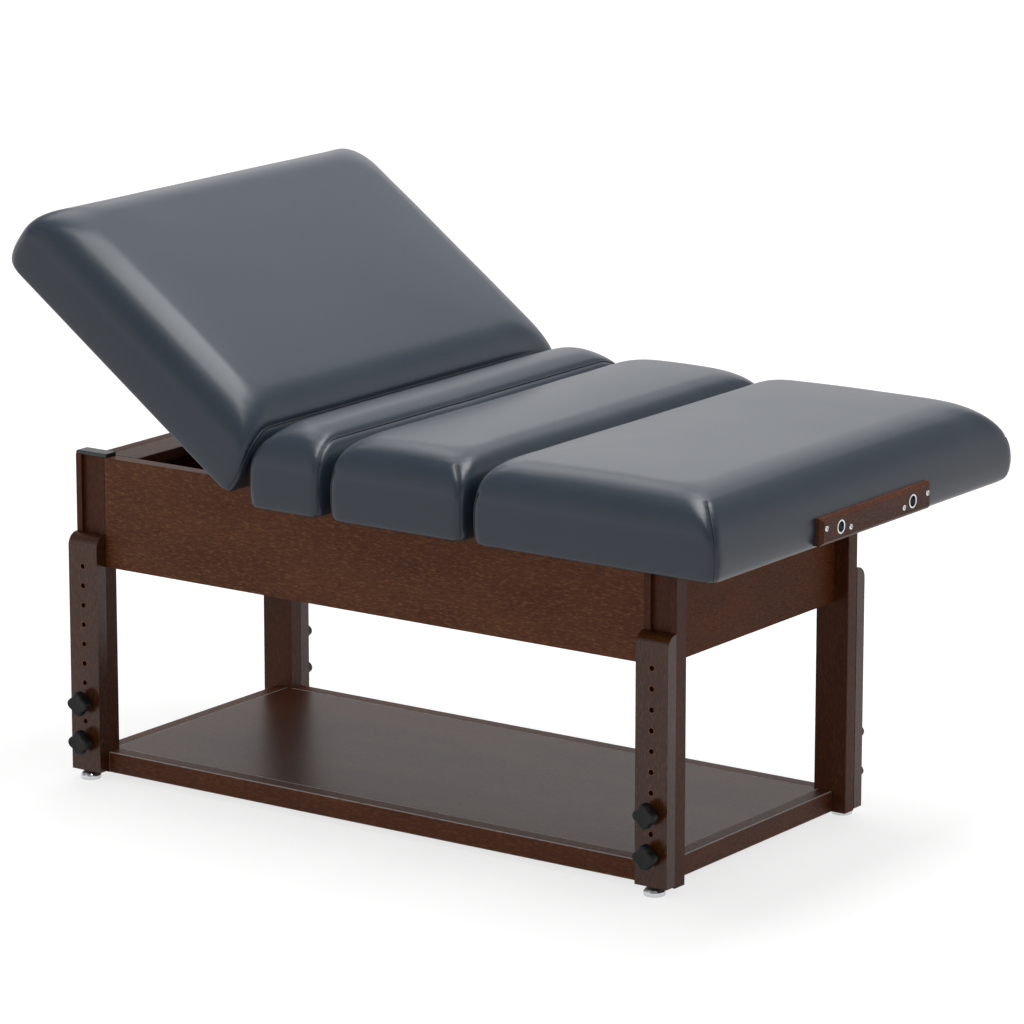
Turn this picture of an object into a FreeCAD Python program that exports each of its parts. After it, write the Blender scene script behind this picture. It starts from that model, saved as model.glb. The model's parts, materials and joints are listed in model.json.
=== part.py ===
import FreeCAD
import Part
import math
import os
import re

# Spa treatment table, in millimetres. X runs from the head end to the foot end, Y across, Z up from the floor.
# The top is drawn flat, and the back section is then turned about its hinge to its raised position.

SIZES = {
    # wooden base
    "base_length": 1150,
    "base_width": 506,
    "base_middle": -90,
    "post_width": 58,
    "post_depth": 26,
    "post_bottom": 12,
    "post_top": 530,
    "channel_width": 36,
    "channel_depth": 6.5,
    "apron_height": 179,
    "end_apron_thickness": 20,
    "end_inset": 25,
    "beam_height": 34,
    "end_beam_thickness": 24,
    "shelf_thickness": 18,
    "rim_board_width": 61,
    "rim_board_thickness": 18,
    "dust_panel_thickness": 6,
    "rail_thickness": 25,
    "rail_height": 136,
    "rest_pad_height": 6,
    "rest_pad_length": 62,
    "rest_pad_rounding": 4,
    "rest_gap": 0.3,
    # adjustable legs
    "leg_thickness": 22,
    "leg_length": 389,
    "leg_rounding": 20,
    "leg_gap": 0.3,
    "tongue_gap": 0.5,
    "hole_count": 10,
    "hole_pitch": 32,
    "hole_diameter": 9,
    "hole_margin": 50,
    "upper_knob_hole": 3,
    "lower_knob_hole": 1,
    "running_gap": 0.05,
    # knobs and their inserts
    "stud_diameter": 8,
    "insert_diameter": 13,
    "insert_length": 14,
    "knob_diameter": 40,
    "knob_head_depth": 15,
    "knob_hub_diameter": 20,
    "knob_hub_length": 8,
    "scallop_diameter": 26,
    "scallop_offset": 27.5,
    "knob_gap": 0.3,
    # levelling feet
    "foot_height": 15,
    "foot_diameter": 34,
    "foot_disc_height": 5,
    "foot_cone_height": 4,
    "collar_diameter": 22,
    "stem_diameter": 8,
    "stem_length": 40,
    # upholstered top
    "cushion_width": 826,
    "cushion_height": 124,
    "cushion_crown": 7,
    "side_radius": 72,
    "side_tuck": 5,
    "outer_end_radius": 92,
    "outer_end_tuck": 12,
    "inner_end_radius": 46,
    "inner_end_tuck": 4,
    "hinged_end_radius": 70,
    "hinged_end_tuck": 4,
    "tuck_height": 36,
    "corner_radius": 12,
    "corner_growth": 0.5,
    "end_lean": 5,
    "side_draw": 3,
    "seat_head_face": -189,
    "seat_length": 139,
    "back_length": 546,
    "thigh_length": 252,
    "foot_length": 438,
    "hinge_gap": 14,
    "fold_gap": 12,
    "board_thickness": 16,
    "board_inset": 16,
    "back_angle": 36,
    # hinges
    "hinge_height": 40,
    "hinge_offset": 90,
    "leaf_width": 60,
    "leaf_thickness": 2.5,
    "leaf_reach": 46,
    "knuckle_diameter": 10,
    "knuckle_length": 18,
    "knuckle_gap": 0.4,
    "leaf_relief": 0.6,
    "hinge_pin_diameter": 6,
    "fold_drop": 5.6,
    # ratchet stays
    "stay_offset": 170,
    "stay_reach": 165,
    "ear_drop": 16,
    "root_reach": 45,
    "root_drop": 150,
    "tube_diameter": 18,
    "tube_length": 135,
    "tube_floor": 12,
    "rod_diameter": 12,
    "rod_length": 138,
    "root_pin_diameter": 10,
    "cross_pin_diameter": 8,
    "ear_eye_gap": 3.2,
    "ear_margin": 6,
    "cheek_thickness": 3,
    "cheek_gap": 0.5,
    # face rest plate at the foot end
    "plate_length": 310,
    "plate_height": 42,
    "plate_thickness": 18,
    "plate_seat": 10,
    "plate_rise": 7,
    "plate_bevel": 5,
    "socket_spacing": 203.2,
    "socket_diameter": 16.2,
    "bushing_diameter": 22,
    "bushing_length": 54,
    "screw_diameter": 4,
    "screw_head_diameter": 9,
    "screw_head_height": 2,
    "screw_length": 17,
    "outer_screw_inset": 12,
    "inner_screw_offset": 26,
    "screw_spread": 5,
    # how far a cutting tool runs past the face that it cuts
    "tool_overrun": 5,
}

doc = FreeCAD.newDocument("spa_table")
sheet = doc.addObject("Spreadsheet::Sheet", "Sizes")
for row, (alias, number) in enumerate(SIZES.items(), start=1):
    sheet.set(f"A{row}", alias)
    sheet.set(f"B{row}", str(number))
    sheet.setAlias(f"B{row}", alias)
doc.recompute()

nodes = {}
ENDS = {"head": -1, "foot": 1}
SIDES = {"near": -1, "far": 1}
AXIS_TURNS = {
    "x": FreeCAD.Rotation(FreeCAD.Vector(0, 1, 0), 90),
    "y": FreeCAD.Rotation(FreeCAD.Vector(1, 0, 0), -90),
    "z": FreeCAD.Rotation(),
}


def size(alias):
    """Number that a cell of the sheet holds."""
    return float(sheet.get(alias))


def bound(formula):
    """Formula of size names as an expression on the sheet's cells."""
    return re.sub(r"[a-z_]+", lambda word: f"Sizes.{word[0]}" if word[0] in SIZES else word[0], formula)


def keep(label, piece):
    """Makes a finished piece a sub-part under its own label."""
    piece.Label = label
    nodes[label] = piece


def block(x, y, z):
    """Box between a pair of formulas on each axis."""
    box = doc.addObject("Part::Box", "block")
    for side, (low, high) in zip(("Length", "Width", "Height"), (x, y, z)):
        box.setExpression(side, bound(f"({high}) - ({low})"))
    for axis, (low, high) in zip("xyz", (x, y, z)):
        box.setExpression(f"Placement.Base.{axis}", bound(low))
    return box


def place_round(piece, axis, centre, start):
    """Turns a round solid along an axis and binds its place."""
    piece.Placement = FreeCAD.Placement(FreeCAD.Vector(), AXIS_TURNS[axis])
    where = dict(zip([name for name in "xyz" if name != axis], centre))
    where[axis] = start
    for name, formula in where.items():
        piece.setExpression(f"Placement.Base.{name}", bound(formula))


def cylinder(axis, diameter, centre, span):
    """Round bar along an axis, with the other two coordinates of its centre line."""
    bar = doc.addObject("Part::Cylinder", "bar")
    bar.setExpression("Radius", bound(f"({diameter}) / 2"))
    bar.setExpression("Height", bound(f"({span[1]}) - ({span[0]})"))
    place_round(bar, axis, centre, span[0])
    return bar


def fuse(pieces):
    """One solid of several overlapping ones."""
    joined = doc.addObject("Part::MultiFuse", "joined")
    joined.Shapes = pieces
    joined.Refine = True
    return joined


def cut(base, tools):
    """Solid with one or more tools taken out of it."""
    result = doc.addObject("Part::Cut", "shaped")
    result.Base = base
    result.Tool = tools[0] if len(tools) == 1 else fuse(tools)
    return result


def group(pieces, placement=None):
    """Separate solids kept together, placed as one."""
    together = doc.addObject("Part::Compound", "set")
    together.Links = pieces
    if placement:
        together.Placement = placement
    return together


def across(side, inner, outer):
    """Span in Y between two distances from the middle, on one side."""
    return (inner, outer) if side > 0 else (f"-({outer})", f"-({inner})")


def along(end, inner, outer):
    """Span in X between two distances from the middle of the base, at one end."""
    if end > 0:
        return (f"base_middle + {inner}", f"base_middle + {outer}")
    return (f"base_middle - ({outer})", f"base_middle - ({inner})")


def about(middle, width):
    """Span of a width about a middle."""
    return (f"{middle} - ({width}) / 2", f"{middle} + ({width}) / 2")


DECK = "(post_top + rest_pad_height + rest_gap)"
POST_INNER = "(base_width / 2 - post_depth)"
CHANNEL_FLOOR = "(base_width / 2 - channel_depth)"
LEG_BACK = "(base_width / 2 + leg_gap)"
LEG_FACE = "(base_width / 2 + leg_gap + leg_thickness)"
LEG_TOP = "(foot_height + leg_length)"
LOW_HOLE = "(foot_height + hole_margin)"
SHELF_TOP = "(post_bottom + beam_height)"
KNOB_HEIGHTS = {
    "upper": f"({LOW_HOLE} + (upper_knob_hole - 1) * hole_pitch)",
    "lower": f"({LOW_HOLE} + (lower_knob_hole - 1) * hole_pitch)",
}


def post_middle(end):
    """Middle of a post in X, as a formula."""
    return f"(base_middle + ({end}) * (base_length - post_width) / 2)"


# Posts: plain square stock with a channel down the outer face, bored for the threaded inserts of the knobs.
inserts = []
for end_name, end in ENDS.items():
    for side_name, side in SIDES.items():
        stock = block(
            along(end, "base_length / 2 - post_width", "base_length / 2"),
            across(side, POST_INNER, "base_width / 2"),
            ("post_bottom", "post_top"),
        )
        channel = block(
            about(post_middle(end), "channel_width"),
            across(side, CHANNEL_FLOOR, "base_width / 2 + tool_overrun"),
            ("post_bottom - tool_overrun", "post_top + tool_overrun"),
        )
        seat_span = across(side, f"{CHANNEL_FLOOR} - insert_length", CHANNEL_FLOOR)
        bores = []
        for height in KNOB_HEIGHTS.values():
            centre = (post_middle(end), height)
            bores.append(cylinder("y", "insert_diameter", centre, seat_span))
            sleeve = cylinder("y", "insert_diameter", centre, seat_span)
            thread = cylinder("y", "stud_diameter + 2 * running_gap", centre, seat_span)
            inserts.append(cut(sleeve, [thread]))
        keep(f"{end_name}_{side_name}_post", cut(stock, [channel] + bores))
keep("knob_inserts", group(inserts))

# Aprons: deep boards between the posts, the side ones flush with the posts and the end ones set in.
APRON_Z = ("post_top - apron_height", "post_top")
BETWEEN_POSTS_X = ("base_middle - base_length / 2 + post_width", "base_middle + base_length / 2 - post_width")
BETWEEN_POSTS_Y = (f"-{POST_INNER}", POST_INNER)
for side_name, side in SIDES.items():
    flush_y = across(side, POST_INNER, "base_width / 2")
    keep(f"{side_name}_side_apron", block(BETWEEN_POSTS_X, flush_y, APRON_Z))
    keep(f"{side_name}_shelf_beam", block(BETWEEN_POSTS_X, flush_y, ("post_bottom", SHELF_TOP)))
for end_name, end in ENDS.items():
    apron_x = along(end, "base_length / 2 - end_inset - end_apron_thickness", "base_length / 2 - end_inset")
    keep(f"{end_name}_end_apron", block(apron_x, BETWEEN_POSTS_Y, APRON_Z))
    beam_x = along(end, "base_length / 2 - end_inset - end_beam_thickness", "base_length / 2 - end_inset")
    keep(f"{end_name}_shelf_beam", block(beam_x, BETWEEN_POSTS_Y, ("post_bottom", SHELF_TOP)))

# Shelf panel: set in flush between the four beams.
SHELF_HALF = "(base_length / 2 - end_inset - end_beam_thickness)"
shelf_x = (f"base_middle - {SHELF_HALF}", f"base_middle + {SHELF_HALF}")
keep("shelf_panel", block(shelf_x, BETWEEN_POSTS_Y, (f"{SHELF_TOP} - shelf_thickness", SHELF_TOP)))

# Rim board along the head end, and the thin panel that closes the base from below.
WELL_HALF = "(base_length / 2 - end_inset - end_apron_thickness)"
rim_x = (f"base_middle - {WELL_HALF}", f"base_middle - {WELL_HALF} + rim_board_width")
keep("head_rim_board", block(rim_x, BETWEEN_POSTS_Y, ("post_top - rim_board_thickness", "post_top")))
well_x = (f"base_middle - {WELL_HALF}", f"base_middle + {WELL_HALF}")
dust_z = ("post_top - apron_height", "post_top - apron_height + dust_panel_thickness")
keep("dust_panel", block(well_x, BETWEEN_POSTS_Y, dust_z))

# Rest pads: soft blocks on the post tops, rounded where the foot section slides over them.
pads = []
for end in ENDS.values():
    for side in SIDES.values():
        pad_x = along(end, "base_length / 2 - rest_pad_length", "base_length / 2")
        pad_y = across(side, POST_INNER, "base_width / 2")
        pad = block(pad_x, pad_y, ("post_top", "post_top + rest_pad_height"))
        edge_x = along(end, "base_length / 2 - rest_pad_rounding", "base_length / 2 + tool_overrun")
        rounding_z = "post_top + rest_pad_height - rest_pad_rounding"
        edge = block(edge_x, pad_y, (rounding_z, "post_top + rest_pad_height + tool_overrun"))
        bead_x = f"base_middle + ({end}) * (base_length / 2 - rest_pad_rounding)"
        bead = cylinder("y", "2 * rest_pad_rounding", (bead_x, rounding_z), pad_y)
        pads.append(cut(pad, [cut(edge, [bead])]))
keep("rest_pads", group(pads))

# Leg boards: a tongue runs in the channel of the post, the front top edge is rounded, and a row of holes takes the
# studs of the knobs. Under each leg a levelling foot screws in, and two star knobs clamp the board.
for end_name, end in ENDS.items():
    for side_name, side in SIDES.items():
        corner = f"{end_name}_{side_name}"
        middle = post_middle(end)
        leg_z = ("foot_height", LEG_TOP)
        board = block(about(middle, "post_width"), across(side, LEG_BACK, LEG_FACE), leg_z)
        tongue_x = about(middle, "channel_width - 2 * tongue_gap")
        tongue = block(tongue_x, across(side, f"{CHANNEL_FLOOR} + tongue_gap", LEG_FACE), leg_z)
        rounding_y = across(side, f"{LEG_FACE} - leg_rounding", f"{LEG_FACE} + tool_overrun")
        waste_x = about(middle, "post_width + 2 * tool_overrun")
        waste = block(waste_x, rounding_y, (f"{LEG_TOP} - leg_rounding", f"{LEG_TOP} + tool_overrun"))
        round_y = f"({side}) * ({LEG_FACE} - leg_rounding)"
        nose = cylinder("x", "2 * leg_rounding", (round_y, f"{LEG_TOP} - leg_rounding"), waste_x)
        through = across(side, f"{CHANNEL_FLOOR} - tool_overrun", f"{LEG_FACE} + tool_overrun")
        tools = [cut(waste, [nose])]
        for index in range(int(size("hole_count"))):
            tools.append(cylinder("y", "hole_diameter", (middle, f"{LOW_HOLE} + {index} * hole_pitch"), through))
        leg_middle = f"({side}) * ({LEG_BACK} + leg_thickness / 2)"
        stem_z = ("foot_height", "foot_height + stem_length")
        stem_bore = ("foot_height - tool_overrun", "foot_height + stem_length + rest_gap")
        tools.append(cylinder("z", "stem_diameter + 2 * running_gap", (middle, leg_middle), stem_bore))
        keep(f"{corner}_leg", cut(fuse([board, tongue]), tools))

        disc = cylinder("z", "foot_diameter", (middle, leg_middle), ("0", "foot_disc_height"))
        cone = doc.addObject("Part::Cone", "cone")
        cone.setExpression("Radius1", bound("foot_diameter / 2"))
        cone.setExpression("Radius2", bound("collar_diameter / 2"))
        cone.setExpression("Height", bound("foot_cone_height"))
        place_round(cone, "z", (middle, leg_middle), "foot_disc_height")
        collar_z = ("foot_disc_height + foot_cone_height", "foot_height")
        collar = cylinder("z", "collar_diameter", (middle, leg_middle), collar_z)
        stem = cylinder("z", "stem_diameter", (middle, leg_middle), stem_z)
        keep(f"{corner}_levelling_foot", fuse([disc, cone, collar, stem]))

        for level, height in KNOB_HEIGHTS.items():
            hub_end = f"({LEG_FACE} + knob_gap + knob_hub_length)"
            head_y = across(side, hub_end, f"{hub_end} + knob_head_depth")
            head = cylinder("y", "knob_diameter", (middle, height), head_y)
            scallops = []
            for quarter in range(4):
                turn = 45 + 90 * quarter
                scallop_x = f"{middle} + scallop_offset * cos({turn} deg)"
                scallop_z = f"{height} + scallop_offset * sin({turn} deg)"
                scallops.append(cylinder("y", "scallop_diameter", (scallop_x, scallop_z), head_y))
            hub_y = across(side, f"{LEG_FACE} + knob_gap", f"{hub_end} + knob_head_depth / 2")
            hub = cylinder("y", "knob_hub_diameter", (middle, height), hub_y)
            stud_y = across(side, f"{CHANNEL_FLOOR} - insert_length", hub_end)
            stud = cylinder("y", "stud_diameter", (middle, height), stud_y)
            keep(f"{corner}_{level}_knob", fuse([cut(head, scallops), hub, stud]))

# Pivots of the top, as formulas. Distances are counted away from the fixed seat on either side of it.
SEAT_FOOT_FACE = "(seat_head_face + seat_length)"
PIVOT_X = {"back": "(seat_head_face - hinge_gap / 2)", "thigh": f"({SEAT_FOOT_FACE} + hinge_gap / 2)"}
PIVOT_Z = f"({DECK} + hinge_height)"
FOLD_X = f"({SEAT_FOOT_FACE} + hinge_gap + thigh_length + fold_gap / 2)"
FOLD_Z = f"({DECK} - fold_drop)"
AWAY = {"back": -1, "thigh": 1}


def away(section, near, far):
    """Span in X between two distances from a section's pivot, counted away from the seat."""
    pivot = PIVOT_X[section]
    if AWAY[section] > 0:
        return (f"{pivot} + ({near})", f"{pivot} + ({far})")
    return (f"{pivot} - ({far})", f"{pivot} - ({near})")


deck_height = size("post_top") + size("rest_pad_height") + size("rest_gap")
pivot_height = deck_height + size("hinge_height")
pivot_x = {
    "back": size("seat_head_face") - size("hinge_gap") / 2,
    "thigh": size("seat_head_face") + size("seat_length") + size("hinge_gap") / 2,
}
RAISED = {
    "back": FreeCAD.Placement(
        FreeCAD.Vector(),
        FreeCAD.Rotation(FreeCAD.Vector(0, 1, 0), size("back_angle")),
        FreeCAD.Vector(pivot_x["back"], 0, pivot_height),
    ),
    "thigh": FreeCAD.Placement(),
}

# Cross rails under the seat: they carry its board, the hinges and the brackets of the stays.
RAIL_Z = (f"{DECK} - rail_height", DECK)
for section in AWAY:
    rail_x = away(section, "-hinge_gap / 2 - rail_thickness", "-hinge_gap / 2")
    keep(f"{section}_cross_rail", block(rail_x, BETWEEN_POSTS_Y, RAIL_Z))

# Hinges of the back and thigh sections: a fixed leaf on the rail rises in the gap to the knuckles, and the moving
# leaf comes down the end of the section and turns under its board.
KNUCKLE_FOOT = "(knuckle_diameter / 2 + leaf_relief)"
OUTER = "leaf_width / 2"
INNER = "(leaf_width / 2 - knuckle_length)"
frame_leaves = []
hinge_pins = []
for section in AWAY:
    moving_leaves = []
    centre = (PIVOT_X[section], PIVOT_Z)
    web_z = (f"{PIVOT_Z} - {KNUCKLE_FOOT} - leaf_thickness", PIVOT_Z)
    flange_top = f"{PIVOT_Z} - {KNUCKLE_FOOT}"
    for side in SIDES.values():
        middle = f"({side}) * hinge_offset"
        leaf_y = about(middle, "leaf_width")
        fixed_x = away(section, "-hinge_gap / 2", "-hinge_gap / 2 + leaf_thickness")
        fixed = [block(fixed_x, leaf_y, (f"{DECK} - leaf_reach", flange_top))]
        for knuckle_y in ((f"{middle} - {OUTER}", f"{middle} - {INNER}"),
                          (f"{middle} + {INNER}", f"{middle} + {OUTER}")):
            fixed.append(cylinder("y", "knuckle_diameter", centre, knuckle_y))
            fixed.append(block(away(section, "-hinge_gap / 2", "0"), knuckle_y, web_z))
        frame_leaves.append(cut(fuse(fixed), [cylinder("y", "hinge_pin_diameter", centre, leaf_y)]))

        tail_x = away(section, "hinge_gap / 2 - leaf_thickness", "hinge_gap / 2")
        plate_x = away(section, "hinge_gap / 2 - leaf_thickness", "hinge_gap / 2 + leaf_reach")
        moving_y = about(middle, f"2 * ({INNER} - knuckle_gap)")
        moving = [
            block(tail_x, leaf_y, (f"{DECK} - leaf_thickness", flange_top)),
            block(plate_x, leaf_y, (f"{DECK} - leaf_thickness", DECK)),
            cylinder("y", "knuckle_diameter", centre, moving_y),
            block(away(section, "0", "hinge_gap / 2"), moving_y, web_z),
        ]
        bore = cylinder("y", "hinge_pin_diameter + 2 * running_gap", centre, leaf_y)
        moving_leaves.append(cut(fuse(moving), [bore]))
        hinge_pins.append(cylinder("y", "hinge_pin_diameter", centre, leaf_y))
    keep(f"{section}_hinge_leaves", group(moving_leaves, RAISED[section]))
keep("frame_hinge_leaves", group(frame_leaves))
keep("hinge_pins", group(hinge_pins))

# Fold hinges under the joint of the thigh and foot sections.
thigh_fold_leaves = []
foot_fold_leaves = []
fold_pins = []
FOLD_LEAF_Z = (f"{DECK} - leaf_thickness", DECK)
FOLD_WEB_Z = (f"{DECK} - leaf_thickness", f"{FOLD_Z} + knuckle_diameter / 2")
for side in SIDES.values():
    middle = f"({side}) * hinge_offset"
    leaf_y = about(middle, "leaf_width")
    centre = (FOLD_X, FOLD_Z)
    leaf = [block((f"{FOLD_X} - leaf_reach", f"{FOLD_X} - {KNUCKLE_FOOT}"), leaf_y, FOLD_LEAF_Z)]
    for knuckle_y in ((f"{middle} - {OUTER}", f"{middle} - {INNER}"),
                      (f"{middle} + {INNER}", f"{middle} + {OUTER}")):
        leaf.append(cylinder("y", "knuckle_diameter", centre, knuckle_y))
        leaf.append(block((f"{FOLD_X} - {KNUCKLE_FOOT} - leaf_thickness", FOLD_X), knuckle_y, FOLD_WEB_Z))
    thigh_fold_leaves.append(cut(fuse(leaf), [cylinder("y", "hinge_pin_diameter", centre, leaf_y)]))
    moving_y = about(middle, f"2 * ({INNER} - knuckle_gap)")
    leaf = [
        block((f"{FOLD_X} + {KNUCKLE_FOOT}", f"{FOLD_X} + leaf_reach"), leaf_y, FOLD_LEAF_Z),
        cylinder("y", "knuckle_diameter", centre, moving_y),
        block((FOLD_X, f"{FOLD_X} + {KNUCKLE_FOOT} + leaf_thickness"), moving_y, FOLD_WEB_Z),
    ]
    bore = cylinder("y", "hinge_pin_diameter + 2 * running_gap", centre, leaf_y)
    foot_fold_leaves.append(cut(fuse(leaf), [bore]))
    fold_pins.append(cylinder("y", "hinge_pin_diameter", centre, leaf_y))
keep("thigh_fold_leaves", group(thigh_fold_leaves))
keep("foot_fold_leaves", group(foot_fold_leaves))
keep("fold_pins", group(fold_pins))

# Ratchet stays: a tube swings on a bracket of the cross rail, and its rod ends in a cross pin that lies in the wide
# eyes of two ears under the section's board.
ROOT_Z = f"({PIVOT_Z} - root_drop)"
EAR_HALF = "(cross_pin_diameter / 2 + ear_eye_gap + ear_margin)"
CHEEK_INNER = "(tube_diameter / 2 + cheek_gap)"
CHEEK_OUTER = "(tube_diameter / 2 + cheek_gap + cheek_thickness)"
stay_brackets = []
for section, direction in AWAY.items():
    angle = math.radians(size("back_angle")) if section == "back" else 0.0
    flat_reach = size("stay_reach")
    flat_drop = size("hinge_height") + size("ear_drop")
    ear_reach = flat_reach * math.cos(angle) + flat_drop * math.sin(angle)
    ear_rise = flat_reach * math.sin(angle) - flat_drop * math.cos(angle)
    slope = math.atan2(ear_rise + size("root_drop"), ear_reach - size("root_reach"))
    heading = slope if direction > 0 else math.pi - slope
    turn = FreeCAD.Rotation(FreeCAD.Vector(0, 1, 0), -math.degrees(heading))
    root = FreeCAD.Vector(pivot_x[section] + direction * size("root_reach"), 0, pivot_height - size("root_drop"))
    tip = FreeCAD.Vector(pivot_x[section] + direction * ear_reach, 0, pivot_height + ear_rise)

    tubes = []
    rods = []
    ears = []
    for side in SIDES.values():
        middle = f"({side}) * stay_offset"
        lug_y = about(middle, "tube_diameter")
        barrel = cylinder("x", "tube_diameter", (middle, "0"), ("0", "tube_length"))
        lug = cylinder("y", "tube_diameter", ("0", "0"), lug_y)
        rod_bore = cylinder("x", "rod_diameter + 2 * running_gap", (middle, "0"), ("tube_floor", "tube_length"))
        pin_bore = cylinder("y", "root_pin_diameter + 2 * running_gap", ("0", "0"), lug_y)
        tubes.append(cut(fuse([barrel, lug]), [rod_bore, pin_bore]))
        shaft = cylinder("x", "rod_diameter", (middle, "0"), ("-rod_length", "0"))
        pin_y = about(middle, f"2 * {CHEEK_OUTER}")
        rods.append(fuse([shaft, cylinder("y", "cross_pin_diameter", ("0", "0"), pin_y)]))

        root_x = f"({PIVOT_X[section]} + ({direction}) * root_reach)"
        ear_x = f"({PIVOT_X[section]} + ({direction}) * stay_reach)"
        cheek_x = away(section, "-hinge_gap / 2", "root_reach + tube_diameter / 2")
        plate_z = about(ROOT_Z, "2 * tube_diameter")
        plate_y = about(middle, f"2 * {CHEEK_OUTER}")
        bracket = [
            block(away(section, "-hinge_gap / 2", "-hinge_gap / 2 + cheek_thickness"), plate_y, plate_z),
            cylinder("y", "root_pin_diameter", (root_x, ROOT_Z), plate_y),
        ]
        ear = [block(about(ear_x, f"2 * {EAR_HALF}"), plate_y, (f"{DECK} - leaf_thickness", DECK))]
        for hand in (-1, 1):
            cheek_y = (
                f"{middle} + ({hand}) * {CHEEK_INNER} - cheek_thickness * {int(hand < 0)}",
                f"{middle} + ({hand}) * {CHEEK_INNER} + cheek_thickness * {int(hand > 0)}",
            )
            bracket.append(block(cheek_x, cheek_y, about(ROOT_Z, "tube_diameter")))
            ear_z = (f"{DECK} - ear_drop - {EAR_HALF}", DECK)
            ear.append(block(about(ear_x, f"2 * {EAR_HALF}"), cheek_y, ear_z))
        eye_diameter = "cross_pin_diameter + 2 * ear_eye_gap"
        eye = cylinder("y", eye_diameter, (ear_x, f"{DECK} - ear_drop"), plate_y)
        stay_brackets.append(fuse(bracket))
        ears.append(cut(fuse(ear), [eye]))
    keep(f"{section}_stay_tubes", group(tubes, FreeCAD.Placement(root, turn)))
    keep(f"{section}_stay_rods", group(rods, FreeCAD.Placement(tip, turn)))
    keep(f"{section}_stay_ears", group(ears, RAISED[section]))
keep("stay_brackets", group(stay_brackets))

# Cushions and their boards. Each cushion is a loft of rounded rectangles whose sides draw in between the corners:
# tucked in below, widest low down, with a large rounding to the top and a low crown.


def outline(x_low, x_high, half_width, corner, draw, height):
    """Closed wire of a rounded rectangle with drawn-in sides, at a height."""
    middle = (x_low + x_high) / 2
    reach = (x_high - x_low) / 2
    bow = corner * (1 - math.sqrt(0.5))

    def point(x, y):
        return FreeCAD.Vector(middle + x, y, height)

    edges = []
    quarter_turns = ((1, 1), (-1, 1), (-1, -1), (1, -1))
    for index, (to_x, to_y) in enumerate(quarter_turns):
        end_point = point(to_x * reach, to_y * (half_width - corner))
        bend = point(to_x * (reach - bow), to_y * (half_width - bow))
        side_point = point(to_x * (reach - corner), to_y * half_width)
        first, last = (end_point, side_point) if to_x * to_y > 0 else (side_point, end_point)
        edges.append(Part.Arc(first, bend, last).toShape())
        next_x, next_y = quarter_turns[(index + 1) % 4]
        if to_x != next_x:
            start, finish = last, point(next_x * (reach - corner), to_y * half_width)
            inward = point(0, to_y * (half_width - draw))
        else:
            start, finish = last, point(to_x * reach, next_y * (half_width - corner))
            inward = point(to_x * (reach - draw), 0)
        edges.append(Part.Arc(start, inward, finish).toShape())
    return Part.Wire(edges)


def edge_inset(edge, level):
    """How far an edge has come in at a level above the bottom: tucked in below and rounded above."""
    tuck, radius = size(f"{edge}_tuck"), size(f"{edge}_radius")
    depth = max(1 - level / size("tuck_height"), 0)
    rise = max(level - size("cushion_height") + radius, 0)
    return tuck * (1 - math.sqrt(1 - depth ** 2)) + radius - math.sqrt(max(radius ** 2 - rise ** 2, 0))


def cushion(x_low, x_high, head_edge, foot_edge):
    """Upholstered section between two end faces, with a pocket for its board."""
    tall = size("cushion_height")
    half_width = size("cushion_width") / 2
    levels = [share * size("tuck_height") for share in (0, 0.12, 0.4, 1)]
    widest = max(size(f"{edge}_radius") for edge in (head_edge, foot_edge, "side"))
    for degrees in (15, 30, 45, 60, 75, 90):
        levels.append(tall - widest * (1 - math.sin(math.radians(degrees))))
    sections = []
    for level in levels:
        lean = size("end_lean") * level / tall
        ends = [edge_inset(edge, level) + lean for edge in (head_edge, foot_edge)]
        sections.append((level, *ends, edge_inset("side", level)))
    level, head_inset, foot_inset, side_inset = sections[-1]
    flat_half = (x_high - x_low - head_inset - foot_inset) / 2
    for share, rise in ((0.35, 0.7), (0.7, 1.0)):
        extra = share * flat_half
        crown_level = tall + rise * size("cushion_crown")
        sections.append((crown_level, head_inset + extra, foot_inset + extra, side_inset + extra))
    wires = []
    for level, head_in, foot_in, side_in in sections:
        low, high = x_low + head_in, x_high - foot_in
        corner = min(size("corner_radius") + size("corner_growth") * side_in, 0.4 * (high - low))
        draw = min(size("side_draw"), 0.1 * (high - low))
        wires.append(outline(low, high, half_width - side_in, corner, draw, deck_height + level))
    solid = Part.makeLoft(wires, True, True)
    inset = size("board_inset")
    pocket = Part.makeBox(
        x_high - x_low - 2 * inset,
        2 * (half_width - inset),
        size("board_thickness"),
        FreeCAD.Vector(x_low + inset, inset - half_width, deck_height),
    )
    return solid.cut(pocket)


SPANS = {
    "back": ("seat_head_face - hinge_gap - back_length", "seat_head_face - hinge_gap"),
    "seat": ("seat_head_face", SEAT_FOOT_FACE),
    "thigh": (f"{SEAT_FOOT_FACE} + hinge_gap", f"{SEAT_FOOT_FACE} + hinge_gap + thigh_length"),
    "foot": (f"{FOLD_X} + fold_gap / 2", f"{FOLD_X} + fold_gap / 2 + foot_length"),
}
seat_low = size("seat_head_face")
seat_high = seat_low + size("seat_length")
thigh_low = seat_high + size("hinge_gap")
thigh_high = thigh_low + size("thigh_length")
foot_low = thigh_high + size("fold_gap")
foot_high = foot_low + size("foot_length")
back_high = seat_low - size("hinge_gap")
solids = {
    "back": cushion(back_high - size("back_length"), back_high, "outer_end", "hinged_end"),
    "seat": cushion(seat_low, seat_high, "hinged_end", "inner_end"),
    "thigh": cushion(thigh_low, thigh_high, "inner_end", "inner_end"),
    "foot": cushion(foot_low, foot_high, "inner_end", "outer_end"),
}

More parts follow.
